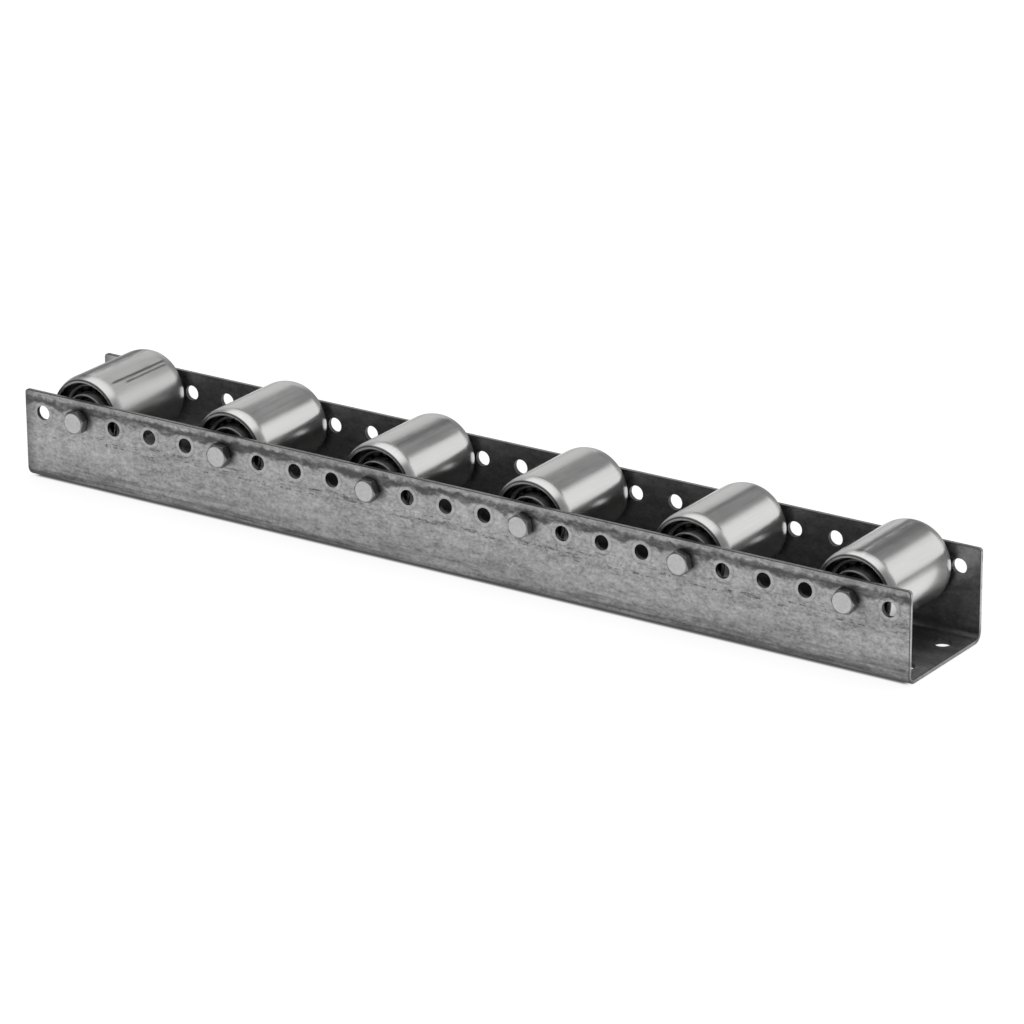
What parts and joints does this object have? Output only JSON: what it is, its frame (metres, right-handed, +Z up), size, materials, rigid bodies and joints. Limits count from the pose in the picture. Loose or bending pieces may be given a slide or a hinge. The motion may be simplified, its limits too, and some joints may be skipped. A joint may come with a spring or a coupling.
{
  "type": "flow rack roller track",
  "caption": "Folded galvanised sheet channel with evenly spaced steel rollers on through bolts, punched flange holes at an even pitch and base fixing holes at both ends.",
  "frame": {"origin": "middle of the underside of the channel", "axes": "+X along the track to the end on the right of the picture, +Y across it from the bolt heads to the nuts, +Z up"},
  "size_m": [0.5842, 0.0941, 0.0648],
  "materials": {
    "galvanised_sheet": "mottled hot-dip zinc, dull",
    "roller_steel": "bright zinc plate, finely brushed along the axis",
    "bearing_steel": "dull pressed steel, lightly oiled",
    "ball_steel": "polished",
    "sleeve_steel": "drawn tube, dull",
    "plated_fastener": "satin zinc plate"
  },
  "bodies": {
    "channel": {"channel": "galvanised_sheet", "axle_1_sleeve": "sleeve_steel", "axle_1_front_cone": "bearing_steel", "axle_1_rear_cone": "bearing_steel", "axle_1_bolt": "plated_fastener", "axle_1_nut": "plated_fastener", "axle_2_sleeve": "sleeve_steel", "axle_2_front_cone": "bearing_steel", "axle_2_rear_cone": "bearing_steel", "axle_2_bolt": "plated_fastener", "axle_2_nut": "plated_fastener", "axle_3_sleeve": "sleeve_steel", "axle_3_front_cone": "bearing_steel", "axle_3_rear_cone": "bearing_steel", "axle_3_bolt": "plated_fastener", "axle_3_nut": "plated_fastener", "axle_4_sleeve": "sleeve_steel", "axle_4_front_cone": "bearing_steel", "axle_4_rear_cone": "bearing_steel", "axle_4_bolt": "plated_fastener", "axle_4_nut": "plated_fastener", "axle_5_sleeve": "sleeve_steel", "axle_5_front_cone": "bearing_steel", "axle_5_rear_cone": "bearing_steel", "axle_5_bolt": "plated_fastener", "axle_5_nut": "plated_fastener", "axle_6_sleeve": "sleeve_steel", "axle_6_front_cone": "bearing_steel", "axle_6_rear_cone": "bearing_steel", "axle_6_bolt": "plated_fastener", "axle_6_nut": "plated_fastener"},
    "roller_1": {"roller_1_tube": "roller_steel", "roller_1_front_cup": "bearing_steel", "roller_1_rear_cup": "bearing_steel"},
    "roller_2": {"roller_2_tube": "roller_steel", "roller_2_front_cup": "bearing_steel", "roller_2_rear_cup": "bearing_steel"},
    "roller_3": {"roller_3_tube": "roller_steel", "roller_3_front_cup": "bearing_steel", "roller_3_rear_cup": "bearing_steel"},
    "roller_4": {"roller_4_tube": "roller_steel", "roller_4_front_cup": "bearing_steel", "roller_4_rear_cup": "bearing_steel"},
    "roller_5": {"roller_5_tube": "roller_steel", "roller_5_front_cup": "bearing_steel", "roller_5_rear_cup": "bearing_steel"},
    "roller_6": {"roller_6_tube": "roller_steel", "roller_6_front_cup": "bearing_steel", "roller_6_rear_cup": "bearing_steel"},
    "balls_1": {"roller_1_balls": "ball_steel"},
    "balls_2": {"roller_2_balls": "ball_steel"},
    "balls_3": {"roller_3_balls": "ball_steel"},
    "balls_4": {"roller_4_balls": "ball_steel"},
    "balls_5": {"roller_5_balls": "ball_steel"},
    "balls_6": {"roller_6_balls": "ball_steel"}
  },
  "joints": [
    {"name": "roller_1_spin", "type": "hinge", "parent": "channel", "child": "roller_1", "pos_m": [-0.254, 0, 0.04064], "axis": [0, 1, 0], "continuous": true},
    {"name": "roller_2_spin", "type": "hinge", "parent": "channel", "child": "roller_2", "pos_m": [-0.1524, 0, 0.04064], "axis": [0, 1, 0], "continuous": true},
    {"name": "roller_3_spin", "type": "hinge", "parent": "channel", "child": "roller_3", "pos_m": [-0.0508, 0, 0.04064], "axis": [0, 1, 0], "continuous": true},
    {"name": "roller_4_spin", "type": "hinge", "parent": "channel", "child": "roller_4", "pos_m": [0.0508, 0, 0.04064], "axis": [0, 1, 0], "continuous": true},
    {"name": "roller_5_spin", "type": "hinge", "parent": "channel", "child": "roller_5", "pos_m": [0.1524, 0, 0.04064], "axis": [0, 1, 0], "continuous": true},
    {"name": "roller_6_spin", "type": "hinge", "parent": "channel", "child": "roller_6", "pos_m": [0.254, 0, 0.04064], "axis": [0, 1, 0], "continuous": true},
    {"name": "balls_1_orbit", "type": "hinge", "parent": "channel", "child": "balls_1", "pos_m": [-0.254, 0, 0.04064], "axis": [0, 1, 0], "continuous": true},
    {"name": "balls_2_orbit", "type": "hinge", "parent": "channel", "child": "balls_2", "pos_m": [-0.1524, 0, 0.04064], "axis": [0, 1, 0], "continuous": true},
    {"name": "balls_3_orbit", "type": "hinge", "parent": "channel", "child": "balls_3", "pos_m": [-0.0508, 0, 0.04064], "axis": [0, 1, 0], "continuous": true},
    {"name": "balls_4_orbit", "type": "hinge", "parent": "channel", "child": "balls_4", "pos_m": [0.0508, 0, 0.04064], "axis": [0, 1, 0], "continuous": true},
    {"name": "balls_5_orbit", "type": "hinge", "parent": "channel", "child": "balls_5", "pos_m": [0.1524, 0, 0.04064], "axis": [0, 1, 0], "continuous": true},
    {"name": "balls_6_orbit", "type": "hinge", "parent": "channel", "child": "balls_6", "pos_m": [0.254, 0, 0.04064], "axis": [0, 1, 0], "continuous": true}
  ],
  "couplings": [
    {"joint": "balls_1_orbit", "follows": "roller_1_spin", "ratio": 0.6031},
    {"joint": "balls_2_orbit", "follows": "roller_2_spin", "ratio": 0.6031},
    {"joint": "balls_3_orbit", "follows": "roller_3_spin", "ratio": 0.6031},
    {"joint": "balls_4_orbit", "follows": "roller_4_spin", "ratio": 0.6031},
    {"joint": "balls_5_orbit", "follows": "roller_5_spin", "ratio": 0.6031},
    {"joint": "balls_6_orbit", "follows": "roller_6_spin", "ratio": 0.6031}
  ]
}
